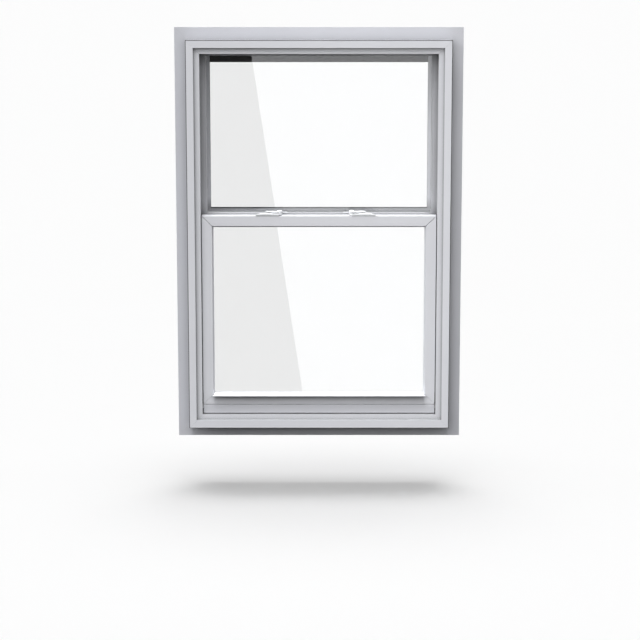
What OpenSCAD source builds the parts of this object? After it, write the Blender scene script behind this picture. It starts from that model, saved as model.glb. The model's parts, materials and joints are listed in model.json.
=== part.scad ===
// Double-hung sash window unit: frame with nailing fin, two sliding sashes,
// sealed glass units, constant-force balances and two cam locks.
// Units are millimetres. x runs across the window, y from the room to the outside, z up.

/* [Frame] */
// Frame width, nailing fin left out
frame_w = 749; // [620:1:950]
// Frame height, nailing fin left out
frame_h = 1118; // [930:1:1400]
// Width of the flat front face of the jambs and head
face_w = 20; // [16:0.5:24]
// Depth of the step between the front face and the sash stop
step_d = 6; // [4:0.5:8]

/* [Nailing fin] */
// Reach of the nailing fin beyond the frame
fin_w = 35; // [25:1:45]
// Thickness of the nailing fin
fin_t = 2; // [1.5:0.1:3]

/* [Sashes] */
// Thickness of each sash
sash_t = 30; // [29:0.5:34]
// Visible face width of the lower sash members
sash_face = 29; // [26:0.5:36]
// Height of the lower sash's top edge above the frame's bottom
meeting_h = 619; // [520:1:760]
// Thickness of each glass pane
pane_t = 3; // [2.5:0.1:4]

/* [Locks] */
// Distance from the window's centre to the left lock's pivot
lock_left_x = 112; // [90:1:180]
// Distance from the window's centre to the right lock's pivot
lock_right_x = 93; // [90:1:180]
// Length of the lock lever from its pivot
lever_len = 42; // [38:1:60]

/* [Hidden] */
$fn = 64;
eps = 0.5;
half_w = frame_w / 2;

// depth stations, counted from the room face
low_y = step_d + 6;
track_gap = 1.5;
stop_t = 4;
part_y = low_y + sash_t + track_gap;
part_end = part_y + stop_t;
up_y = part_end + track_gap;
ext_y = up_y + sash_t + 1;
ext_t = 3;
frame_d = ext_y + ext_t;
fin_y = up_y + 3;

// reach of each step of the frame section, counted from its outer edge
low_track = face_w + 17;
part_reach = low_track + 12.5;
up_track = face_w + 8;
head_lift = 9;
head_track = up_track - head_lift;
head_stop = part_reach - 4.5;
ext_reach = up_track + 14;
sill_face = face_w + 3;
sill_top = low_track + 2;
sill_low = up_track;

// foam seal round the outside of the frame, just behind the front face
seal_from = 2.5;
seal_w = 6;
seal_out = 1.8;

// balance pockets inside the jambs
skin = 3;
low_pocket = [[low_track - 31, low_y + 2], [low_track - skin, low_y + 28]];
up_pocket = [[up_track - 23, up_y + 2], [up_track - skin, up_y + 28]];
slot_in = 10;
slot_w = 10;
tongue_gap = 1;

// lower sash
low_hw = half_w - low_track - 2.5;
low_bottom = sill_top + 29;
low_bevel = 4;
leg_t = 10.5;
low_reach = sash_face + low_bevel;
rebate = 17;
wall = 3;
groove_w = 1.9;
groove_d = 1.7;
foot_groove_w = 0.9;
foot_groove_d = 0.8;
joint_h = 2;
joint_d = 2.5;
bar_gap = 2.5;
seal_t = bar_gap;

// upper sash
up_hw = half_w - up_track - 4.5;
up_bottom = meeting_h - 17;
up_top = frame_h - head_track - 3;
up_leg = 21;
up_leg_t = 12;
up_rebate = 13;
up_bead = 31.5;
tape_head = head_lift + 3.5;
tape_foot = 2.5;

// sealed glass units
air_t = 8;
unit_t = 2 * pane_t + air_t;
block_t = 3;
spacer_w = 9;
bead_gap = 0.1;
tape_t = 0.8;

// lift lip on the bottom rail
lip_out = 11.5;
lip_hw = low_hw - low_reach;
lip_flare = 6.5;

// interlocks of the meeting rails
lock_run = part_reach + 1;
hook_t = 2;

// balances
shoe_h = 50;
low_shoe_z = sill_top + 6;
up_shoe_z = up_bottom + 4;
coil_r = 11.4;
coil_bore = 5;
coil_w = 12;
coil_low_z = low_shoe_z + 470;
coil_up_z = up_shoe_z + shoe_h + 52;
tape_w = 12;
strip_t = 0.6;
bracket_t = 2;

// locks
pivot_back = 16;
pivot_y = up_y - pivot_back;
pin_r = 3;
pin_fit = 0.05;
base_h = 8;
cam_z = meeting_h + 8.8;
arm_h = 3.8;
seat_h = 3.6;
screw_spots = [[-34, -4.5], [-16, -1]];
keep_z = up_bottom + up_leg;
tongue_in = 18.6;
tongue_out = 21.5;
lip_in = 16.2;
lip_outer = 18;
head_r = 3.4;

white = [0.93, 0.93, 0.94];
trim_white = [0.96, 0.96, 0.96];
steel = [0.72, 0.73, 0.75];
dark = [0.08, 0.08, 0.08];
grey = [0.45, 0.45, 0.47];
glass = [0.85, 0.92, 0.92, 0.35];

// ---------- helpers ----------

// Window coordinates: x from the centre, y from the room face, z from the frame's bottom
module place() {
    translate([0, -frame_d / 2, fin_w]) children();
}

// Box between two corners
module box(a, b) {
    translate(a) cube([b[0] - a[0], b[1] - a[1], b[2] - a[2]]);
}

// Outline in x and z, made solid from depth y0 to y1
module slab(y0, y1) {
    translate([0, y1, 0]) rotate([90, 0, 0]) linear_extrude(height = y1 - y0) children();
}

// Outline in depth and height, run along x over a half length
module run_x(half) {
    rotate([90, 0, 90]) linear_extrude(height = 2 * half, center = true) children();
}

// Swaps the two values of each point
function turned(points) = [for (p = points) [p[1], p[0]]];

// Rectangle between two points of a section
module cell(a, b) {
    translate(a) square([b[0] - a[0], b[1] - a[1]]);
}

// Mitre wedge of the left member of a ring, cut to x and z
module side_wedge(hw, z0, z1, reach, y0, y1, gap = 0) {
    slab(y0, y1) polygon([
        [-hw, z0 + gap],
        [-hw + reach, z0 + reach + gap],
        [-hw + reach, z1 - reach - gap],
        [-hw, z1 - gap]
    ]);
}

// Mitre wedge of the bottom member of a ring
module foot_wedge(hw, z0, reach, y0, y1, gap = 0) {
    slab(y0, y1) polygon([
        [-hw + gap, z0],
        [hw - gap, z0],
        [hw - reach - gap, z0 + reach],
        [-hw + reach + gap, z0 + reach]
    ]);
}

// The same wedge for the top member
module head_wedge(hw, z1, reach, y0, y1, gap = 0) {
    translate([0, 0, z1]) mirror([0, 0, 1]) foot_wedge(hw, 0, reach, y0, y1, gap);
}

// Upright bar of a section given as reach and depth
module stile_bar(hw, z0, z1, y0) {
    translate([-hw, y0, z0]) linear_extrude(height = z1 - z0) children();
}

// Bottom bar of a section given as depth and reach
module rail_bar(hw, z0, y0) {
    translate([0, y0, z0]) run_x(hw) children();
}

// Top bar, the bottom bar turned over
module head_bar(hw, z1, y0) {
    translate([0, 0, z1]) mirror([0, 0, 1]) rail_bar(hw, 0, y0) children();
}

module flip() {
    mirror([1, 0, 0]) children();
}

// ---------- frame ----------

// Section of the jambs and head, given the reach of the parting stop and of the upper sash's track
function frame_outline(stop, track) = [
    [0, 0], [face_w, 0], [face_w, step_d], [low_track, step_d],
    [low_track, part_y], [stop, part_y], [stop, part_end],
    [track, part_end], [track, ext_y], [ext_reach, ext_y], [ext_reach, frame_d], [0, frame_d]
];

function sill_outline() = [
    [0, 0], [0, sill_face], [step_d, sill_face], [step_d, sill_top],
    [part_end, sill_top], [part_end + 1.5, sill_top - 5], [frame_d, sill_low], [frame_d, 0]
];

// Left jamb with its mitres, still without pockets
module jamb_solid() {
    intersection() {
        stile_bar(half_w, 0, frame_h, 0) polygon(frame_outline(part_reach, up_track));
        union() {
            slab(-eps, part_end) polygon([
                [-half_w, 0], [-half_w + sill_top, sill_top], [-half_w + part_reach, sill_top],
                [-half_w + part_reach, frame_h - head_stop],
                [-half_w + head_stop, frame_h - head_stop], [-half_w, frame_h]
            ]);
            slab(part_end, frame_d + eps) polygon([
                [-half_w, 0], [-half_w + sill_low, sill_low], [-half_w + head_stop, sill_low],
                [-half_w + head_stop, frame_h - head_stop], [-half_w, frame_h]
            ]);
        }
    }
}

module jamb() {
    difference() {
        jamb_solid();
        stile_bar(half_w, -eps, frame_h + eps, 0) {
            cell(low_pocket[0], low_pocket[1]);
            cell([low_track - skin - eps, low_y + slot_in], [low_track + eps, low_y + slot_in + slot_w]);
            cell(up_pocket[0], up_pocket[1]);
            cell([up_track - skin - eps, up_y + slot_in + 1], [up_track + eps, up_y + slot_in + 1 + slot_w]);
            cell([skin + 1, skin], [face_w - skin, low_y - 1]);
            cell([skin * 2, low_y + 31], [up_track - skin, part_end]);
        }
    }
}

module frame_head() {
    color(white) place() difference() {
        head_bar(half_w, frame_h, 0) polygon(turned(frame_outline(head_stop, head_track)));
        head_bar(half_w + eps, frame_h, 0) {
            cell([skin, skin + 1], [low_y - 1, face_w - skin]);
            cell([low_pocket[0][1], low_pocket[0][0]], [low_pocket[1][1], low_pocket[1][0]]);
            cell([up_pocket[0][1], up_pocket[0][0]], [up_pocket[1][1], head_track - skin]);
            cell([low_y + 31, skin * 2], [part_end, head_track - skin]);
        }
        jamb_solid();
        flip() jamb_solid();
    }
}

module frame_sill() {
    weep_w = 36;
    weep_z = [6, 11];
    color(white) place() difference() {
        rail_bar(half_w, 0, 0) polygon(sill_outline());
        rail_bar(half_w + eps, 0, 0) {
            cell([skin, skin + 1], [skin + 4, sill_face - skin - 1]);
            cell([low_y - 2, skin + 1], [low_y + 14, sill_top - skin - 1]);
            cell([low_y + 17, skin + 1], [low_y + 32, sill_top - skin - 1]);
            cell([part_end + 3.5, skin + 1], [frame_d - skin - 1, sill_low - skin - 1]);
        }
        for (x = [-half_w / 2, half_w / 2])
            box([x - weep_w / 2, frame_d - skin - 2, weep_z[0]], [x + weep_w / 2, frame_d + eps, weep_z[1]]);
        jamb_solid();
        flip() jamb_solid();
    }
}

module frame_jamb_left() {
    color(white) place() jamb();
}

module frame_jamb_right() {
    color(white) place() flip() jamb();
}

module fin_left() {
    color(white) place() slab(fin_y, fin_y + fin_t) polygon([
        [-half_w, 0], [-half_w, frame_h], [-half_w - fin_w, frame_h + fin_w], [-half_w - fin_w, -fin_w]
    ]);
}

module fin_right() {
    flip() fin_left();
}

module fin_sill() {
    color(white) place() slab(fin_y, fin_y + fin_t) polygon([
        [-half_w, 0], [half_w, 0], [half_w + fin_w, -fin_w], [-half_w - fin_w, -fin_w]
    ]);
}

module fin_head() {
    color(white) place() slab(fin_y, fin_y + fin_t) polygon([
        [-half_w, frame_h], [half_w, frame_h],
        [half_w + fin_w, frame_h + fin_w], [-half_w - fin_w, frame_h + fin_w]
    ]);
}

module frame_side_seal() {
    y1 = seal_from + seal_w;
    color(dark) place() difference() {
        box([-half_w - seal_out, seal_from, -seal_out], [half_w + seal_out, y1, frame_h + seal_out]);
        box([-half_w, seal_from - eps, 0], [half_w, y1 + eps, frame_h]);
    }
}

// ---------- balances ----------

// Coil position in a pocket: [distance from the centre, depth]
function coil_x(pocket) = half_w - (pocket[0][0] + pocket[1][0]) / 2;
coil_shift = 0.6;

// Bracket with back plate, side flange and the hub that carries the coil
module coil_bracket(pocket, z) {
    wall_x = -half_w + pocket[0][0];
    y0 = pocket[0][1];
    cx = -coil_x(pocket);
    hub_r = coil_bore - pin_fit;
    color(steel) place() {
        box([wall_x, y0, z - 26], [wall_x + bracket_t, y0 + 25, z + 26]);
        box([wall_x, y0, z - 14], [-half_w + pocket[1][0] - 1, y0 + bracket_t, z + 26]);
        translate([cx, y0 + bracket_t + 15, z]) rotate([90, 0, 0]) cylinder(r = hub_r, h = 15 + eps);
        translate([cx, y0 + bracket_t + 17, z]) rotate([90, 0, 0]) cylinder(r = hub_r + 1.5, h = 2);
    }
}

module coil(pocket, z) {
    turns = 4;
    color(grey) place() translate([-coil_x(pocket), pocket[0][1] + bracket_t + 14, z]) rotate([90, 0, 0])
        difference() {
            cylinder(r = up_coil_r(pocket), h = coil_w);
            translate([0, 0, -eps]) cylinder(r = coil_bore, h = coil_w + 2 * eps);
            for (i = [1 : turns - 1])
                translate([0, 0, coil_w - 0.5]) ring(coil_bore + i * 1.5, 0.35, 1);
        }
}

// The upper pocket is narrower, so its coil is smaller
function up_coil_r(pocket) = min(coil_r, (pocket[1][0] - pocket[0][0]) / 2 - 2.6);

// Thin ring used to cut the turns into a coil's end
module ring(r, t, h) {
    difference() {
        cylinder(r = r + t / 2, h = h);
        translate([0, 0, -eps]) cylinder(r = r - t / 2, h = h + 2 * eps);
    }
}

// Steel tape from the coil down to the shoe
module tape(pocket, z_top, z_end) {
    x0 = -coil_x(pocket) + up_coil_r(pocket) + 0.3;
    y0 = pocket[0][1] + bracket_t + 2;
    color(steel) place() box([x0, y0, z_end], [x0 + strip_t, y0 + tape_w, z_top]);
}

// Shoe that runs in the pocket, with the pivot bar that carries the sash
module shoe(pocket, z0, bar_end, slot_y) {
    x0 = -half_w + pocket[0][0] + 1.2;
    x1 = -half_w + pocket[1][0] - 1.2;
    y0 = pocket[0][1] + 1;
    y1 = pocket[1][1] - 1;
    mid = z0 + shoe_h / 2;
    color(trim_white) place() {
        difference() {
            box([x0, y0, z0], [x1, y1, z0 + shoe_h]);
            translate([(x0 + x1) / 2, y0 - eps, mid + 8]) rotate([-90, 0, 0]) cylinder(r = 6, h = 4 + eps);
            box([x0 - eps, y0 + 5, z0 - eps], [x0 + 2, y1 - 5, z0 + 12]);
            box([x0 - eps, y0 + 5, z0 + shoe_h - 12], [x0 + 2, y1 - 5, z0 + shoe_h + eps]);
        }
        box([x1 - eps, slot_y + 1, z0 + 8], [bar_end, slot_y + slot_w - 1, z0 + 20]);
    }
}

module coil_bracket_low_left() {
    coil_bracket(low_pocket, coil_low_z);
}

module coil_bracket_low_right() {
    flip() coil_bracket_low_left();
}

module coil_bracket_up_left() {
    coil_bracket(up_pocket, coil_up_z);
}

module coil_bracket_up_right() {
    flip() coil_bracket_up_left();
}

module coil_low_left() {
    coil(low_pocket, coil_low_z);
}

module coil_low_right() {
    flip() coil_low_left();
}

module coil_up_left() {
    coil(up_pocket, coil_up_z);
}

module coil_up_right() {
    flip() coil_up_left();
}

module tape_low_left() {
    tape(low_pocket, coil_low_z, low_shoe_z + shoe_h);
}

module tape_low_right() {
    flip() tape_low_left();
}

module tape_up_left() {
    tape(up_pocket, coil_up_z, up_shoe_z + shoe_h);
}

module tape_up_right() {
    flip() tape_up_left();
}

module shoe_low_left() {
    shoe(low_pocket, low_shoe_z, -low_hw, low_y + slot_in);
}

module shoe_low_right() {
    flip() shoe_low_left();
}

module shoe_up_left() {
    shoe(up_pocket, up_shoe_z, -up_hw, up_y + slot_in + 1);
}

module shoe_up_right() {
    flip() shoe_up_left();
}

// Screws that hold the coil brackets to the back wall of the pockets
module bracket_screws() {
    color(steel) for (pz = [[low_pocket, coil_low_z], [up_pocket, coil_up_z]])
        for (side = [0, 1])
            mirror([side, 0, 0]) place()
                translate([-half_w + pz[0][0][0] + bracket_t, pz[0][0][1] + 12, pz[1] + 19])
                    rotate([0, 90, 0]) cross_screw(3.4, 1.8);
}

// Pan head with a cross recess, seated on z = 0
module cross_screw(r, h) {
    slot = 0.9;
    deep = 0.9;
    difference() {
        cylinder(r = r, h = h);
        translate([-r * 0.6, -slot / 2, h - deep]) cube([r * 1.2, slot, deep + eps]);
        translate([-slot / 2, -r * 0.6, h - deep]) cube([slot, r * 1.2, deep + eps]);
    }
}

// ---------- lower sash ----------

function low_outline() = [
    [0, 0], [sash_face, 0], [low_reach, leg_t - 0.5], [low_reach, leg_t],
    [rebate, leg_t], [rebate, sash_t], [0, sash_t]
];

// Narrow grooves that show the mitre joints on the room face
module mitre_grooves() {
    long = low_reach * 2;
    for (s = [-1, 1]) {
        translate([s * low_hw, low_y - eps, meeting_h]) rotate([0, s * 45, 0])
            translate([-groove_w / 2, 0, -long]) cube([groove_w, groove_d + eps, long * 1.2]);
        translate([s * low_hw, low_y - eps, low_bottom]) rotate([0, -s * 45, 0])
            translate([-foot_groove_w / 2, 0, -long * 0.2])
                cube([foot_groove_w, foot_groove_d + eps, long * 1.2]);
    }
}

module low_chambers() {
    cell([wall, wall], [rebate - wall, sash_t - wall]);
    cell([rebate, wall], [sash_face - 2, leg_t - wall]);
}

module low_chambers_turned() {
    cell([wall, wall], [sash_t - wall, rebate - wall]);
    cell([wall, rebate], [leg_t - wall, sash_face - 2]);
}

module lower_stile() {
    tongue_y = low_y + slot_in + tongue_gap;
    tongue_reach = 7;
    tongue_from = low_shoe_z + shoe_h + 5;
    color(white) place() {
        difference() {
            intersection() {
                stile_bar(low_hw, low_bottom, meeting_h, low_y) polygon(low_outline());
                side_wedge(low_hw, low_bottom, meeting_h, low_reach, low_y, low_y + sash_t);
            }
            stile_bar(low_hw, low_bottom - eps, meeting_h + eps, low_y) low_chambers();
            mitre_grooves();
        }
        box([-low_hw - tongue_reach, tongue_y, tongue_from],
            [-low_hw + eps, tongue_y + slot_w - 2 * tongue_gap, meeting_h - 12]);
    }
}

module lower_stile_left() {
    lower_stile();
}

module lower_stile_right() {
    flip() lower_stile();
}

module lower_rail_top() {
    color(white) place() difference() {
        intersection() {
            head_bar(low_hw, meeting_h, low_y) polygon(turned(low_outline()));
            head_wedge(low_hw, meeting_h, low_reach, low_y, low_y + sash_t);
        }
        head_bar(low_hw + eps, meeting_h, low_y) low_chambers_turned();
        mitre_grooves();
    }
}

// Bottom rail with the lift lip along its room face
module lower_rail_bottom() {
    lip = [
        [0, sash_face], [-lip_out + 1, sash_face - 1], [-lip_out, sash_face - 2],
        [-lip_out, sash_face - 4.4], [-lip_out + 1.8, sash_face - 4.4],
        [-lip_out + 1.8, sash_face - 3.4], [0, sash_face - 4]
    ];
    color(white) place() {
        difference() {
            intersection() {
                rail_bar(low_hw, low_bottom, low_y) polygon(turned(low_outline()));
                foot_wedge(low_hw, low_bottom, low_reach, low_y, low_y + sash_t);
            }
            rail_bar(low_hw + eps, low_bottom, low_y) low_chambers_turned();
            mitre_grooves();
        }
        intersection() {
            rail_bar(low_hw, low_bottom, low_y) polygon(lip);
            translate([0, 0, low_bottom]) linear_extrude(height = low_reach) polygon([
                [-lip_hw, low_y], [lip_hw, low_y],
                [lip_hw + lip_flare, low_y - lip_out], [-lip_hw - lip_flare, low_y - lip_out]
            ]);
        }
    }
}

// Hollow bar under the bottom rail that closes onto the sill
module lower_weather_bar() {
    z0 = sill_top + bar_gap;
    color(white) place() difference() {
        box([-low_hw, low_y, z0], [low_hw, low_y + sash_t, low_bottom]);
        box([-low_hw + wall, low_y + wall, z0 + wall], [low_hw - wall, low_y + sash_t - wall, low_bottom - wall]);
        box([-low_hw - eps, low_y - eps, low_bottom - joint_h], [low_hw + eps, low_y + joint_d, low_bottom + eps]);
    }
}

module lower_sill_seal() {
    color(dark) place() run_x(low_hw - 4) polygon([
        [low_y + 2, sill_top], [low_y + 9, sill_top], [low_y + 12, sill_top + seal_t],
        [low_y + 0.5, sill_top + seal_t]
    ]);
}

// Pane of a sealed unit, given its half width, heights and depth
module pane(hw, z0, z1, y0) {
    color(glass) place() box([-hw, y0, z0], [hw, y0 + pane_t, z1]);
}

module spacer_ring(hw, z0, z1, y0, inset, w) {
    color(grey) place() difference() {
        box([-hw + inset, y0, z0 + inset], [hw - inset, y0 + air_t, z1 - inset]);
        box([-hw + inset + w, y0 - eps, z0 + inset + w], [hw - inset - w, y0 + air_t + eps, z1 - inset - w]);
    }
}

// Four snap-in glazing beads as separate solids
module bead_ring(hw, z0, z1, from, to, y0, y1) {
    outline = [[from, y0], [to, y0], [to, (y0 + y1) / 2], [to - 3, y1], [from, y1]];
    color(white) place() {
        for (m = [0, 1])
            mirror([m, 0, 0]) intersection() {
                stile_bar(hw, z0, z1, 0) polygon(outline);
                side_wedge(hw, z0, z1, to, y0, y1, bead_gap);
            }
        intersection() {
            rail_bar(hw, z0, 0) polygon(turned(outline));
            foot_wedge(hw, z0, to, y0, y1, bead_gap);
        }
        intersection() {
            head_bar(hw, z1, 0) polygon(turned(outline));
            head_wedge(hw, z1, to, y0, y1, bead_gap);
        }
    }
}

// Two setting blocks between the rail and the glass unit
module blocks(z0, y0) {
    block_w = 80;
    block_x = 200;
    color(dark) place() for (x = [-block_x, block_x])
        box([x - block_w / 2, y0, z0], [x + block_w / 2, y0 + unit_t, z0 + block_t]);
}

low_glass = rebate + block_t;
low_glass_y = low_y + leg_t;

module lower_pane_room() {
    pane(low_hw - low_glass, low_bottom + low_glass, meeting_h - low_glass, low_glass_y);
}

module lower_pane_outer() {
    pane(low_hw - low_glass, low_bottom + low_glass, meeting_h - low_glass, low_glass_y + pane_t + air_t);
}

module lower_spacer() {
    spacer_ring(low_hw - low_glass, low_bottom + low_glass, meeting_h - low_glass,
        low_glass_y + pane_t, eps, spacer_w);
}

module lower_beads() {
    bead_ring(low_hw, low_bottom, meeting_h, rebate, rebate + 14, low_glass_y + unit_t, low_y + sash_t);
}

module lower_blocks() {
    blocks(low_bottom + rebate, low_glass_y);
}

// Hook behind the lower sash that meets the hook of the upper one
module lower_interlock() {
    y0 = low_y + sash_t;
    z1 = meeting_h - 4;
    hook_end = up_bottom + 5.5;
    color(white) place() run_x(half_w - lock_run - 1) polygon([
        [y0, z1], [part_end, z1], [part_end, hook_end],
        [part_end - hook_t, hook_end], [part_end - hook_t, z1 - 3], [y0, z1 - 3]
    ]);
}

// ---------- upper sash ----------

function up_outline() = [
    [0, 0], [up_leg, 0], [up_leg, up_leg_t], [up_rebate, up_leg_t], [up_rebate, sash_t], [0, sash_t]
];

module up_chambers() {
    cell([wall, wall], [up_rebate - wall, sash_t - wall]);
    cell([up_rebate, wall], [up_leg - wall, up_leg_t - wall]);
}

module up_chambers_turned() {
    cell([wall, wall], [sash_t - wall, up_rebate - wall]);
    cell([wall, up_rebate], [up_leg_t - wall, up_leg - wall]);
}

module upper_stile() {
    tongue_y = up_y + slot_in + 1 + tongue_gap;
    tongue_reach = 8.5;
    color(white) place() {
        difference() {
            intersection() {
                stile_bar(up_hw, up_bottom, up_top, up_y) polygon(up_outline());
                side_wedge(up_hw, up_bottom, up_top, up_leg, up_y, up_y + sash_t);
            }
            stile_bar(up_hw, up_bottom - eps, up_top + eps, up_y) up_chambers();
        }
        box([-up_hw - tongue_reach, tongue_y, up_shoe_z + shoe_h + 5],
            [-up_hw + eps, tongue_y + slot_w - 2 * tongue_gap, up_top - 10]);
    }
}

module upper_stile_left() {
    upper_stile();
}

module upper_stile_right() {
    flip() upper_stile();
}

module upper_rail_top() {
    color(white) place() difference() {
        intersection() {
            head_bar(up_hw, up_top, up_y) polygon(turned(up_outline()));
            head_wedge(up_hw, up_top, up_leg, up_y, up_y + sash_t);
        }
        head_bar(up_hw + eps, up_top, up_y) up_chambers_turned();
    }
}

module upper_rail_bottom() {
    color(white) place() difference() {
        intersection() {
            rail_bar(up_hw, up_bottom, up_y) polygon(turned(up_outline()));
            foot_wedge(up_hw, up_bottom, up_leg, up_y, up_y + sash_t);
        }
        rail_bar(up_hw + eps, up_bottom, up_y) up_chambers_turned();
    }
}

up_glass = up_rebate + block_t;
up_glass_y = up_y + up_leg_t;

module upper_pane_room() {
    pane(up_hw - up_glass, up_bottom + up_glass, up_top - up_glass, up_glass_y);
}

module upper_pane_outer() {
    pane(up_hw - up_glass, up_bottom + up_glass, up_top - up_glass, up_glass_y + pane_t + air_t);
}

module upper_spacer() {
    spacer_ring(up_hw - up_glass, up_bottom + up_glass, up_top - up_glass,
        up_glass_y + pane_t, eps, spacer_w / 2);
}

module upper_beads() {
    bead_ring(up_hw, up_bottom, up_top, up_rebate, up_bead, up_glass_y + unit_t + tape_t, up_y + sash_t);
}

module upper_blocks() {
    blocks(up_bottom + up_rebate, up_glass_y);
}

// Dark gasket between the beads and the glass: a lip round the edge, a full band at the head
module upper_glazing_tape() {
    y0 = up_glass_y + unit_t;
    lap = 0.5;
    edge = up_hw - up_bead + lap;
    side = up_hw - up_bead;
    color(dark) place() difference() {
        box([-edge, y0, up_bottom + up_bead - lap], [edge, y0 + tape_t, up_top - up_glass]);
        box([-side, y0 - eps, up_bottom + up_bead + tape_foot],
            [side, y0 + tape_t + eps, up_top - up_bead - tape_head]);
    }
}

module upper_interlock() {
    z0 = up_bottom + 1;
    y0 = part_y - 0.7;
    hook_top = up_bottom + 9;
    color(white) place() run_x(half_w - lock_run - 1) polygon([
        [up_y, z0], [y0, z0], [y0, hook_top], [y0 + 1.5, hook_top], [y0 + 1.5, z0 + 3], [up_y, z0 + 3]
    ]);
}

// ---------- locks ----------

// Lock parts are drawn about the pivot, the lever pointing to -x

// Leaf outline of the lock base, drawn inset by a margin: straight front edge, curved back, pointed tail
module leaf(inset) {
    front = low_y - pivot_y - 1 + inset;
    back = sash_t + low_y - pivot_y - 1.6 - inset;
    tail = -74 + 3 * inset;
    end = 7.5 - inset;
    c = ((back * back - front * front) - tail * tail) / (2 * (back - front));
    intersection() {
        polygon([[tail, front], [-2, front], [end, -4], [end, back], [tail, back]]);
        translate([0, c]) circle(r = back - c, $fn = 256);
    }
}

module lock_base() {
    crown_x = -41;
    crown_r = 90;
    foot = 1.8;
    flat_h = 5.6;
    hub_r = 6.8;
    reach = 80;
    color(trim_white) difference() {
        union() {
            translate([0, 0, meeting_h]) linear_extrude(height = foot + eps) leaf(2);
            // crowned leaf over the foot, falling to a point at the tail
            intersection() {
                translate([0, 0, meeting_h + foot]) linear_extrude(height = base_h) leaf(0);
                union() {
                    translate([crown_x, reach, meeting_h + base_h - crown_r])
                        rotate([90, 0, 0]) cylinder(r = crown_r, h = 2 * reach, $fn = 256);
                    box([crown_x + 10, -reach, meeting_h], [reach, reach, meeting_h + flat_h]);
                }
            }
            translate([0, 0, meeting_h]) cylinder(r = hub_r, h = cam_z - meeting_h - 0.3);
        }
        translate([0, 0, meeting_h - eps]) cylinder(r = pin_r + pin_fit, h = 40);
        for (p = screw_spots)
            translate([p[0], p[1], meeting_h + seat_h]) cylinder(r = head_r + 0.3, h = 10);
    }
}

// Cam plate and lever in one casting, with the tongue that hangs behind the keeper
module lock_lever() {
    boss_r = 7;
    end_r = 3.6;
    arm = lever_len - end_r;
    cos_t = (boss_r - end_r) / arm;
    sin_t = sqrt(1 - cos_t * cos_t);
    root_r = boss_r - 0.06;
    tip_r = end_r - 0.03;
    tongue_w = 13;
    tongue_h = 2;
    color(trim_white) difference() {
        union() {
            // round boss and tapered arm, thinned towards the tip
            intersection() {
                translate([0, 0, cam_z]) linear_extrude(height = arm_h + 1) {
                    circle(r = boss_r);
                    polygon([
                        [-root_r * cos_t, root_r * sin_t], [-arm - tip_r * cos_t, tip_r * sin_t],
                        [-arm - tip_r * cos_t, -tip_r * sin_t], [-root_r * cos_t, -root_r * sin_t]
                    ]);
                    translate([-arm, 0]) circle(r = end_r);
                }
                slab(-boss_r - 1, boss_r + 1) polygon([
                    [boss_r + 1, cam_z], [-20, cam_z], [-lever_len - 1, cam_z + 0.5],
                    [-lever_len - 1, cam_z + 1.8], [-lever_len + 8, cam_z + 3],
                    [-10, cam_z + 2.2], [-boss_r, cam_z + arm_h], [boss_r + 1, cam_z + arm_h]
                ]);
            }
            // cam plate reaching over the keeper
            translate([0, 0, cam_z]) linear_extrude(height = 2.5) intersection() {
                circle(r = tongue_out);
                translate([-tongue_w / 2, 0]) square([tongue_w, tongue_out + 1]);
            }
            // tongue behind the keeper's lip
            translate([0, 0, cam_z - tongue_h]) linear_extrude(height = tongue_h + eps) intersection() {
                difference() {
                    circle(r = tongue_out);
                    circle(r = tongue_in);
                }
                translate([-tongue_w / 2, 0]) square([tongue_w, tongue_out + 1]);
            }
        }
        translate([0, 0, cam_z - eps]) cylinder(r = pin_r + pin_fit, h = 20);
    }
}

module lock_pin() {
    color(steel) {
        translate([0, 0, meeting_h + 0.3]) cylinder(r = pin_r, h = cam_z - meeting_h + arm_h - 0.3);
        translate([0, 0, cam_z + arm_h]) difference() {
            cylinder(r = pin_r + 1.6, h = 1.2);
            translate([0, 0, 0.8]) cylinder(r = 1.4, h = 1);
        }
    }
}

module lock_screws() {
    color(steel) for (p = screw_spots)
        translate([p[0], p[1], meeting_h + seat_h]) cross_screw(head_r, 1.8);
}

// Keeper: foot plate on the upper rail and a curved upright lip
module keeper() {
    foot = 2;
    lip_half = 9;
    plate_half = 24;
    y0 = up_y - pivot_y;
    color(trim_white) {
        box([-plate_half, y0, keep_z], [plate_half, y0 + up_leg_t - 0.6, keep_z + foot]);
        translate([0, 0, keep_z]) linear_extrude(height = cam_z - keep_z - 0.6) intersection() {
            difference() {
                circle(r = lip_outer);
                circle(r = lip_in);
            }
            translate([-lip_half, y0]) square([lip_half * 2, lip_outer]);
        }
    }
}

module keeper_heads() {
    foot = 2;
    color(steel) for (x = [-18, 18])
        translate([x, up_y - pivot_y + 5.5, keep_z + foot]) cross_screw(head_r - 0.6, 1.3);
}

module at_left_lock() {
    place() translate([-lock_left_x, pivot_y, 0]) children();
}

module at_right_lock() {
    place() translate([lock_right_x, pivot_y, 0]) flip() children();
}

module lock_left_base() {
    at_left_lock() lock_base();
}

module lock_left_lever() {
    at_left_lock() lock_lever();
}

module lock_left_pin() {
    at_left_lock() lock_pin();
}

module lock_left_screws() {
    at_left_lock() lock_screws();
}

module lock_right_base() {
    at_right_lock() lock_base();
}

module lock_right_lever() {
    at_right_lock() lock_lever();
}

module lock_right_pin() {
    at_right_lock() lock_pin();
}

module lock_right_screws() {
    at_right_lock() lock_screws();
}

module keeper_left() {
    at_left_lock() keeper();
}

module keeper_right() {
    at_right_lock() keeper();
}

module keeper_screws() {
    at_left_lock() keeper_heads();
    at_right_lock() keeper_heads();
}

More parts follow.
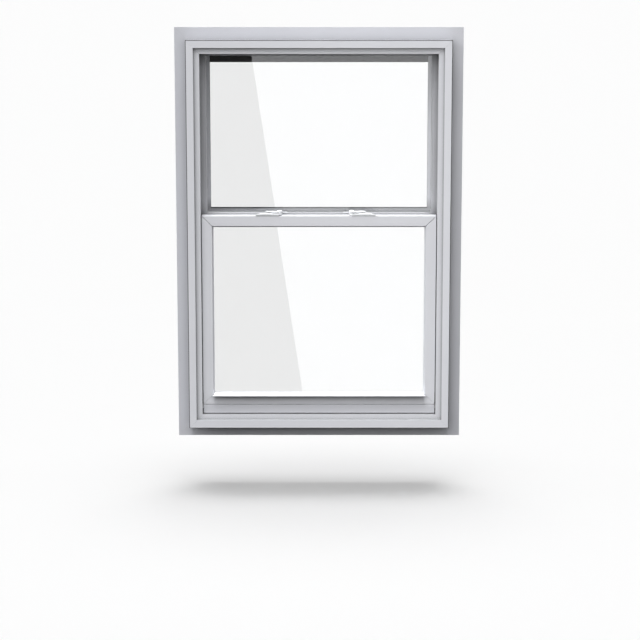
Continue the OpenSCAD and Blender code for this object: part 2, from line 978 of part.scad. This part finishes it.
frame_head();
frame_sill();
frame_jamb_left();
frame_jamb_right();
fin_head();
fin_sill();
fin_left();
fin_right();
frame_side_seal();
coil_bracket_low_left();
coil_bracket_low_right();
coil_bracket_up_left();
coil_bracket_up_right();
coil_low_left();
coil_low_right();
coil_up_left();
coil_up_right();
tape_low_left();
tape_low_right();
tape_up_left();
tape_up_right();
bracket_screws();
lower_rail_top();
lower_rail_bottom();
lower_stile_left();
lower_stile_right();
lower_pane_room();
lower_pane_outer();
lower_spacer();
lower_beads();
lower_blocks();
lower_weather_bar();
lower_sill_seal();
lower_interlock();
shoe_low_left();
shoe_low_right();
upper_rail_top();
upper_rail_bottom();
upper_stile_left();
upper_stile_right();
upper_pane_room();
upper_pane_outer();
upper_spacer();
upper_beads();
upper_blocks();
upper_glazing_tape();
upper_interlock();
shoe_up_left();
shoe_up_right();
keeper_left();
keeper_right();
keeper_screws();
lock_left_base();
lock_left_lever();
lock_left_pin();
lock_left_screws();
lock_right_base();
lock_right_lever();
lock_right_pin();
lock_right_screws();
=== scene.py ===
import json
import math

import bpy
from mathutils import Matrix, Vector


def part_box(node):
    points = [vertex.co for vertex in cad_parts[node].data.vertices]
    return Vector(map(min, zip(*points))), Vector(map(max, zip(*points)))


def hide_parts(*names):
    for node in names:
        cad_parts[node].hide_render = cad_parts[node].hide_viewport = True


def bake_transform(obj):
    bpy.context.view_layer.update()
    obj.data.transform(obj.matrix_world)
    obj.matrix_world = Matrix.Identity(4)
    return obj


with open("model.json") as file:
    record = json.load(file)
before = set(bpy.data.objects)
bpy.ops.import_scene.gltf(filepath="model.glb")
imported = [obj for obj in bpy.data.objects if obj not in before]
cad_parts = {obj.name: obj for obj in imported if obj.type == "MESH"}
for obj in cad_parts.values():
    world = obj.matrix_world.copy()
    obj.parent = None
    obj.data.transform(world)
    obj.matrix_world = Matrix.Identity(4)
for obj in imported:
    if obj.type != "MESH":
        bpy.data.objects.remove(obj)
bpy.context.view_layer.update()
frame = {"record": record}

MM = 0.001
PLAIN = (1, 1, 1)  # grain that runs no way in particular
PROFILE = (6, 6, 0.2)  # die lines drawn out along an upright profile
COOL = (-0.014, -0.006, 0.036)  # the blue cast of the window's plastic
ICE = (-0.020, -0.008, 0.020)  # the fainter cast of the lock enamel
CREVICE_SAMPLES = 8
FIRST, SECOND, MIXED = 6, 7, 2  # a mix node's two colours going in and the colour coming out
MATERIAL_SLOTS = {s["node"]: s["material_slot"] for s in frame["record"]["subparts"]}
NODES = [s["node"] for s in frame["record"]["subparts"]]


# ---------- node material helpers ----------

def new_material(name):
    """A fresh node material with its Principled shader."""
    mat = bpy.data.materials.new(name)
    mat.use_nodes = True
    tree = mat.node_tree
    return mat, tree, tree.nodes["Principled BSDF"]


def object_coordinates(tree, scale):
    """Object coordinates stretched by scale, so the grain keeps its size on every part."""
    coord = tree.nodes.new("ShaderNodeTexCoord")
    mapping = tree.nodes.new("ShaderNodeMapping")
    mapping.inputs["Scale"].default_value = scale
    tree.links.new(coord.outputs["Object"], mapping.inputs["Vector"])
    return mapping.outputs["Vector"]


def noise(tree, vector, scale, detail=4.0, rough=0.5):
    node = tree.nodes.new("ShaderNodeTexNoise")
    node.inputs["Scale"].default_value = scale
    node.inputs["Detail"].default_value = detail
    node.inputs["Roughness"].default_value = rough
    tree.links.new(vector, node.inputs["Vector"])
    return node.outputs["Fac"]


def ramp(tree, fac, stops):
    """Colour ramp with (position, colour) stops."""
    node = tree.nodes.new("ShaderNodeValToRGB")
    node.color_ramp.elements[0].position = stops[0][0]
    node.color_ramp.elements[0].color = stops[0][1]
    node.color_ramp.elements[1].position = stops[-1][0]
    node.color_ramp.elements[1].color = stops[-1][1]
    for position, colour in stops[1:-1]:
        node.color_ramp.elements.new(position).color = colour
    tree.links.new(fac, node.inputs["Fac"])
    return node.outputs["Color"]


def spread(tree, fac, low, high):
    """Stretches a 0 to 1 value between low and high."""
    node = tree.nodes.new("ShaderNodeMapRange")
    node.inputs["To Min"].default_value = low
    node.inputs["To Max"].default_value = high
    tree.links.new(fac, node.inputs["Value"])
    return node.outputs["Result"]


def bump(tree, height, strength, distance, normal=None):
    node = tree.nodes.new("ShaderNodeBump")
    node.inputs["Strength"].default_value = strength
    node.inputs["Distance"].default_value = distance
    tree.links.new(height, node.inputs["Height"])
    if normal is not None:
        tree.links.new(normal, node.inputs["Normal"])
    return node.outputs["Normal"]


def arithmetic(tree, operation, first, second, clamp=False):
    """Math node whose two terms are sockets or plain numbers."""
    node = tree.nodes.new("ShaderNodeMath")
    node.operation = operation
    node.use_clamp = clamp
    for socket, term in zip(node.inputs, (first, second)):
        if isinstance(term, (int, float)):
            socket.default_value = term
        else:
            tree.links.new(term, socket)
    return node.outputs["Value"]


def painted_crevice_shade(tree, reach, power, own):
    """0 to 1 openness of a spot, for painted shade: low where walls nearer than reach close it in.

    With own set, only the walls of the piece itself count.
    """
    node = tree.nodes.new("ShaderNodeAmbientOcclusion")
    node.samples = CREVICE_SAMPLES
    node.only_local = own
    node.inputs["Distance"].default_value = reach
    return arithmetic(tree, "POWER", node.outputs["AO"], power)


def shade(tree, colour, openness, depth):
    """Darkens a colour by up to depth where the spot is closed in."""
    node = tree.nodes.new("ShaderNodeMix")
    node.data_type = "RGBA"
    node.blend_type = "MULTIPLY"
    node.inputs["Factor"].default_value = depth
    tree.links.new(colour, node.inputs[FIRST])
    tree.links.new(openness, node.inputs[SECOND])
    return node.outputs[MIXED]


def painted_foot_shade(tree, height, depth):
    """1 high up, sinking to 1 - depth below the height: painted shade, darker towards the foot of a
    piece.
    """
    coord = tree.nodes.new("ShaderNodeTexCoord")
    split = tree.nodes.new("ShaderNodeSeparateXYZ")
    rise = tree.nodes.new("ShaderNodeMapRange")
    rise.inputs["From Min"].default_value = height
    rise.inputs["From Max"].default_value = height + 30 * MM
    rise.inputs["To Min"].default_value = 1.0 - depth
    rise.inputs["To Max"].default_value = 1.0
    tree.links.new(coord.outputs["Object"], split.inputs["Vector"])
    tree.links.new(split.outputs["Z"], rise.inputs["Value"])
    return rise.outputs["Result"]


# ---------- materials ----------

def grey(v, tint=(0.0, 0.0, 0.0)):
    return (v + tint[0], v + tint[1], v + tint[2], 1.0)


def upvc(name, value, rough, closeness, own=False, foot=None):
    """White extruded plastic: faint die lines along the profile, painted shade in its corners, satin
    gloss.

    rough is its lowest and highest roughness. closeness is the reach, power and depth of the painted
    shade in its corners. foot is the height and depth of the painted shade towards its foot, if it has
    any.
    """
    mat, tree, shader = new_material(name)
    lines = noise(tree, object_coordinates(tree, PROFILE), 180.0, 2.0, 0.4)
    cloud = noise(tree, object_coordinates(tree, PLAIN), 3.0, 5.0, 0.55)
    grain = noise(tree, object_coordinates(tree, PLAIN), 900.0, 2.0, 0.5)
    tone = ramp(tree, cloud, [(0.3, grey(value - 0.018, COOL)), (0.7, grey(value + 0.012, COOL))])
    reach, power, depth = closeness
    # painted shade: darker where nearby walls close a spot in, standing in for the shade of corners and
    # recesses
    tone = shade(tree, tone, painted_crevice_shade(tree, reach, power, own), depth)
    # painted shade: darker towards the piece's foot, below the given height
    if foot:
        tone = shade(tree, tone, painted_foot_shade(tree, *foot), 1.0)
    tree.links.new(tone, shader.inputs["Base Color"])
    tree.links.new(spread(tree, grain, *rough), shader.inputs["Roughness"])
    normal = bump(tree, lines, 0.05, 0.0004)
    tree.links.new(bump(tree, grain, 0.06, 0.0002, normal), shader.inputs["Normal"])
    shader.inputs["IOR"].default_value = 1.53
    return mat


def enamel(name, value):
    """Glossy white enamel over a cast body, with a slight orange peel and painted shade in its creases.
    """
    mat, tree, shader = new_material(name)
    peel = noise(tree, object_coordinates(tree, PLAIN), 420.0, 2.0, 0.4)
    cloud = noise(tree, object_coordinates(tree, PLAIN), 24.0, 4.0, 0.5)
    tone = ramp(tree, cloud, [(0.3, grey(value - 0.02, ICE)), (0.7, grey(value + 0.01, ICE))])
    # painted shade: darker in the lock's creases, where nearby walls close a spot in
    tone = shade(tree, tone, painted_crevice_shade(tree, 4 * MM, 2.6, False), 1.0)
    tree.links.new(tone, shader.inputs["Base Color"])
    tree.links.new(spread(tree, cloud, 0.10, 0.18), shader.inputs["Roughness"])
    tree.links.new(bump(tree, peel, 0.08, 0.0003), shader.inputs["Normal"])
    shader.inputs["Coat Weight"].default_value = 0.6
    shader.inputs["Coat Roughness"].default_value = 0.05
    return mat


def metal(name, value, rough_low, rough_high, stretch):
    """Plated or rolled steel with fine directional brushing."""
    mat, tree, shader = new_material(name)
    brushed = noise(tree, object_coordinates(tree, stretch), 220.0, 5.0, 0.6)
    cloud = noise(tree, object_coordinates(tree, PLAIN), 30.0, 4.0, 0.5)
    tree.links.new(
        ramp(tree, cloud, [(0.25, grey(value - 0.06)), (0.75, grey(value + 0.05))]),
        shader.inputs["Base Color"],
    )
    tree.links.new(spread(tree, brushed, rough_low, rough_high), shader.inputs["Roughness"])
    tree.links.new(bump(tree, brushed, 0.12, 0.0002), shader.inputs["Normal"])
    shader.inputs["Metallic"].default_value = 1.0
    return mat


def rubber(name):
    """Matt black rubber with a dusty bloom."""
    mat, tree, shader = new_material(name)
    pores = noise(tree, object_coordinates(tree, PLAIN), 700.0, 3.0, 0.6)
    cloud = noise(tree, object_coordinates(tree, PLAIN), 18.0, 4.0, 0.6)
    tree.links.new(
        ramp(tree, cloud, [(0.3, grey(0.010)), (0.8, grey(0.022))]),
        shader.inputs["Base Color"],
    )
    tree.links.new(spread(tree, pores, 0.6, 0.85), shader.inputs["Roughness"])
    tree.links.new(bump(tree, pores, 0.3, 0.0003), shader.inputs["Normal"])
    return mat


def foam(name):
    """Closed-cell foam strip in a near-black grey; the grey is painted shade, the seal strip at the
    edge of the frame's face drawing a line of shade.
    """
    mat, tree, shader = new_material(name)
    cells = noise(tree, object_coordinates(tree, PLAIN), 850.0, 3.0, 0.6)
    cloud = noise(tree, object_coordinates(tree, PLAIN), 14.0, 4.0, 0.6)
    # painted shade: the near-black grey draws the shade line along the frame's face
    tree.links.new(
        ramp(tree, cloud, [(0.3, grey(0.045)), (0.8, grey(0.075))]),
        shader.inputs["Base Color"],
    )
    tree.links.new(spread(tree, cells, 0.7, 0.9), shader.inputs["Roughness"])
    tree.links.new(bump(tree, cells, 0.35, 0.0004), shader.inputs["Normal"])
    return mat


def nylon(name):
    """Natural moulded nylon, slightly waxy."""
    mat, tree, shader = new_material(name)
    cloud = noise(tree, object_coordinates(tree, PLAIN), 40.0, 4.0, 0.5)
    grain = noise(tree, object_coordinates(tree, PLAIN), 600.0, 2.0, 0.5)
    tree.links.new(
        ramp(tree, cloud, [(0.3, (0.70, 0.69, 0.65, 1)), (0.7, (0.77, 0.76, 0.72, 1))]),
        shader.inputs["Base Color"],
    )
    tree.links.new(spread(tree, grain, 0.38, 0.5), shader.inputs["Roughness"])
    tree.links.new(bump(tree, grain, 0.1, 0.0002), shader.inputs["Normal"])
    return mat


def float_glass(name, reflect):
    """Clear pane whose outer face mirrors a share of the room, more at a glancing angle."""
    mat, tree, shader = new_material(name)
    tree.nodes.remove(shader)
    output = tree.nodes["Material Output"]
    clear = tree.nodes.new("ShaderNodeBsdfTransparent")
    clear.inputs["Color"].default_value = (0.990, 0.991, 0.991, 1.0)
    mirror = tree.nodes.new("ShaderNodeBsdfGlossy")
    mirror.inputs["Color"].default_value = (0.97, 0.98, 1.0, 1.0)
    smudge = noise(tree, object_coordinates(tree, PLAIN), 6.0, 6.0, 0.6)
    tree.links.new(spread(tree, smudge, 0.0, 0.012), mirror.inputs["Roughness"])
    fresnel = tree.nodes.new("ShaderNodeFresnel")
    fresnel.inputs["IOR"].default_value = 1.5
    face = tree.nodes.new("ShaderNodeNewGeometry")
    outward = arithmetic(tree, "SUBTRACT", 1.0, face.outputs["Backfacing"])
    strength = arithmetic(tree, "MULTIPLY", fresnel.outputs["Fac"], reflect)
    share = arithmetic(tree, "MULTIPLY", strength, outward, clamp=True)
    mix = tree.nodes.new("ShaderNodeMixShader")
    tree.links.new(share, mix.inputs["Fac"])
    tree.links.new(clear.outputs["BSDF"], mix.inputs[1])
    tree.links.new(mirror.outputs["BSDF"], mix.inputs[2])
    tree.links.new(mix.outputs["Shader"], output.inputs["Surface"])
    return mat


BEAD_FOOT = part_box("upper_beads")[0][2] + 20 * MM
# Lowest and highest roughness of the plastic
HANDLED, SATIN, DULL = (0.26, 0.38), (0.30, 0.42), (0.38, 0.50)
MATERIALS = {
    "frame_upvc": upvc("frame_upvc", 0.80, SATIN, (0.045, 1.25, 1.0)),
    # painted shade: the fins take a darker grey than the frame's same plastic, standing in for the
    # shade on them
    "fin_upvc": upvc("fin_upvc", 0.635, DULL, (0.030, 0.5, 1.0)),
    "sash_upvc": upvc("sash_upvc", 0.79, HANDLED, (0.045, 1.6, 0.70)),
    # painted shade: the beads take a darker grey, their own corner shade and a painted shade towards
    # their foot
    "bead_upvc": upvc("bead_upvc", 0.64, SATIN, (0.045, 0.8, 0.60), True, (BEAD_FOOT, 0.52)),
    # painted shade: the weather bar takes a darker grey and its own corner shade
    "bar_upvc": upvc("bar_upvc", 0.68, SATIN, (0.020, 1.4, 1.0), True),
    # painted shade: the room-side sash keeps the sash grey with a stronger corner shade from its own
    # walls only
    "room_sash_upvc": upvc("room_sash_upvc", 0.79, HANDLED, (0.020, 1.8, 1.0), True),
    "glass": float_glass("clear_glass", 1.6),
    "grey_foam": foam("grey_foam"),
    "spacer_bar": metal("spacer_bar", 0.62, 0.35, 0.5, PLAIN),
    "black_rubber": rubber("black_rubber"),
    "zinc_steel": metal("zinc_steel", 0.66, 0.22, 0.38, (1, 1, 12)),
    "spring_steel": metal("spring_steel", 0.55, 0.18, 0.34, (1, 14, 1)),
    "shoe_nylon": nylon("shoe_nylon"),
    "lock_enamel": enamel("lock_enamel", 0.97),
}


# ---------- dressing the CAD nodes ----------

# Sash members whose plastic differs from the upper sash's in its painted shade: a darker grey standing
# in for shade, or a corner shade of their own
LOOKS = {}
for node in NODES:
    if node.startswith("lower_") and MATERIAL_SLOTS[node] == "sash_upvc":
        LOOKS[node] = "room_sash_upvc"
LOOKS["upper_beads"] = "bead_upvc"
LOOKS["lower_weather_bar"] = "bar_upvc"

SHARP = math.radians(38)  # edges that turn by more than this are rounded
# Edge rounding in mm for each material slot
EDGE_MM = {
    "frame_upvc": 0.2, "fin_upvc": 0.15, "sash_upvc": 0.6, "glass": 0.2, "spacer_bar": 0.3,
    "black_rubber": 0.15, "grey_foam": 0.3, "zinc_steel": 0.2, "spring_steel": 0.12, "shoe_nylon": 0.4,
    "lock_enamel": 0.5,
}


def round_edges(obj, width):
    """Welds the CAD mesh and rounds its sharp edges, so they catch the light."""
    weld = obj.modifiers.new("weld", "WELD")
    weld.merge_threshold = 0.01 * MM
    bevel = obj.modifiers.new("edge", "BEVEL")
    bevel.width = width
    bevel.segments = 2
    bevel.limit_method = "ANGLE"
    bevel.angle_limit = SHARP
    bevel.use_clamp_overlap = True
    bevel.harden_normals = False


for node in NODES:
    obj = bpy.data.objects[node]
    slot_name = MATERIAL_SLOTS[node]
    obj.data.materials.clear()
    obj.data.materials.append(MATERIALS[LOOKS.get(node, slot_name)])
    round_edges(obj, EDGE_MM[slot_name] * MM)


# ---------- balance tapes ----------

TAPE_LEVELS = 12  # rings along a tape, so that it can stretch evenly


def box_mesh(name, low, high, levels):
    """Box with extra rings along z."""
    verts, faces = [], []
    for i in range(levels + 1):
        z = low[2] + (high[2] - low[2]) * i / levels
        verts += [(low[0], low[1], z), (high[0], low[1], z)]
        verts += [(high[0], high[1], z), (low[0], high[1], z)]
    faces.append((3, 2, 1, 0))
    for i in range(levels):
        for k in range(4):
            a = 4 * i + k
            b = 4 * i + (k + 1) % 4
            faces.append((a, b, b + 4, a + 4))
    top = 4 * levels
    faces.append((top, top + 1, top + 2, top + 3))
    mesh = bpy.data.meshes.new(name)
    mesh.from_pydata(verts, [], faces)
    obj = bpy.data.objects.new(name, mesh)
    bpy.context.scene.collection.objects.link(obj)
    return obj


def tape(node):
    """Spring strip drawn as a box with rings along its length, in place of the tape part."""
    low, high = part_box(node)
    obj = box_mesh(node + "_strip", low, high, TAPE_LEVELS)
    obj.data.materials.append(MATERIALS["spring_steel"])
    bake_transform(obj)
    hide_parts(node)


for side in ("left", "right"):
    tape("tape_low_" + side)
    tape("tape_up_" + side)


# ---------- floor, lights and camera ----------

def plane(name, corners, mat):
    mesh = bpy.data.meshes.new(name)
    mesh.from_pydata(corners, [], [(0, 1, 2, 3)])
    obj = bpy.data.objects.new(name, mesh)
    obj.data.materials.append(mat)
    bpy.context.scene.collection.objects.link(obj)
    return obj


def floor_material():
    mat, tree, shader = new_material("studio_floor")
    shader.inputs["Base Color"].default_value = (0.95, 0.95, 0.95, 1)
    shader.inputs["Roughness"].default_value = 0.9
    shader.inputs["Specular IOR Level"].default_value = 0.0
    return mat


def card_material(value):
    mat, tree, shader = new_material("studio_card")
    shader.inputs["Base Color"].default_value = (0, 0, 0, 1)
    shader.inputs["Emission Color"].default_value = (1, 1, 1, 1)
    shader.inputs["Emission Strength"].default_value = value
    return mat


FLOOR_Z = -0.147
FLOOR_HALF = 45
floor = plane(
    "floor",
    [(x * FLOOR_HALF, y * FLOOR_HALF, FLOOR_Z) for x, y in ((-1, -1), (1, -1), (1, 1), (-1, 1))],
    floor_material(),
)
floor.visible_glossy = False
floor.visible_diffuse = False

# White card in front of the glass, seen only as its reflection, with a slanted left edge
CARD_Y = -1.0
CARD_LOW, CARD_HIGH = -0.135, 1.6
CARD_FOOT, CARD_HEAD, CARD_RIGHT = -0.0495, -0.3092, 1.6
card = plane(
    "card",
    [
        (CARD_FOOT, CARD_Y, CARD_LOW), (CARD_RIGHT, CARD_Y, CARD_LOW),
        (CARD_RIGHT, CARD_Y, CARD_HIGH), (CARD_HEAD, CARD_Y, CARD_HIGH),
    ],
    card_material(1.4),
)
for ray in ("camera", "diffuse", "transmission", "shadow", "volume_scatter"):
    setattr(card, "visible_" + ray, False)


def sun_light(name, direction, strength, angle):
    data = bpy.data.lights.new(name, "SUN")
    data.energy = strength
    data.angle = math.radians(angle)
    obj = bpy.data.objects.new(name, data)
    obj.matrix_world = Vector(direction).to_track_quat("-Z", "Y").to_matrix().to_4x4()
    bpy.context.scene.collection.objects.link(obj)
    return obj


# Name, direction, strength and width in degrees.
# The floor's lamps shape the soft shadow under the sill.
lights = [
    sun_light("top", (0.10, 0.28, -0.95), 3.12, 30.0),
    sun_light("front", (0.20, 0.80, -0.56), 0.93, 80.0),
    sun_light("side", (0.85, 0.32, -0.42), 1.15, 40.0),
    sun_light("fill", (-0.85, 0.32, -0.42), 0.42, 40.0),
    sun_light("back", (-0.26, -0.90, -0.34), 1.2, 50.0),
    sun_light("floor_back", (0.0, 0.10, -1.0), 0.64, 32.0),
    sun_light("floor_near", (0.0, -0.24, -1.0), 0.64, 32.0),
    sun_light("floor_wide", (0.0, -0.12, -1.0), 1.44, 60.0),
]


def collection(name, objects):
    group = bpy.data.collections.new(name)
    for obj in objects:
        group.objects.link(obj)
    return group


# The floor and the window are lit apart, and the window's own lamps pass its glass without a shadow
window = [o for o in bpy.data.objects if o.type == "MESH" and o not in (floor, card)]
opaque = [o for o in window if MATERIAL_SLOTS.get(o.name) != "glass"]
lit_floor = collection("lit_floor", [floor])
lit_window = collection("lit_window", window)
shading = collection("shading", opaque)
for light in lights:
    if light.name.startswith("floor"):
        light.light_linking.receiver_collection = lit_floor
    else:
        light.light_linking.receiver_collection = lit_window
        light.light_linking.blocker_collection = shading

world = bpy.data.worlds.new("studio")
bpy.context.scene.world = world
world.use_nodes = True
world_tree = world.node_tree
background = world_tree.nodes["Background"]
sky_coord = world_tree.nodes.new("ShaderNodeTexCoord")
sky_split = world_tree.nodes.new("ShaderNodeSeparateXYZ")
world_tree.links.new(sky_coord.outputs["Generated"], sky_split.inputs["Vector"])
SKY = [(0.0, grey(0.01)), (0.05, grey(0.15)), (0.7, grey(0.18))]  # from the horizon up
sky_colour = ramp(world_tree, sky_split.outputs["Z"], SKY)
# Seen straight on, the sky is as pale as the floor; it lights the room at the ramp's own level
sky_path = world_tree.nodes.new("ShaderNodeLightPath")
backdrop = world_tree.nodes.new("ShaderNodeMix")
backdrop.data_type = "RGBA"
backdrop.inputs[SECOND].default_value = grey(0.98)
world_tree.links.new(sky_path.outputs["Is Camera Ray"], backdrop.inputs["Factor"])
world_tree.links.new(sky_colour, backdrop.inputs[FIRST])
world_tree.links.new(backdrop.outputs[MIXED], background.inputs["Color"])
background.inputs["Strength"].default_value = 1.0

SENSOR_MM = 36.0
FOCAL_WIDTHS = 2300.0 / 640.0  # focal length in image widths
EYE = (0.003, -6.5245, 1.6588)
PITCH = math.radians(11.38)  # how far the camera looks down
camera_data = bpy.data.cameras.new("camera")
camera_data.sensor_width = SENSOR_MM
camera_data.lens = FOCAL_WIDTHS * SENSOR_MM
camera_data.clip_end = 100.0
camera = bpy.data.objects.new("camera", camera_data)
camera.matrix_world = Matrix.Translation(EYE) @ Matrix.Rotation(math.pi / 2 - PITCH, 4, "X")
bpy.context.scene.collection.objects.link(camera)
bpy.context.scene.camera = camera
bpy.context.scene.view_settings.view_transform = "Standard"
bpy.context.scene.view_settings.look = "None"
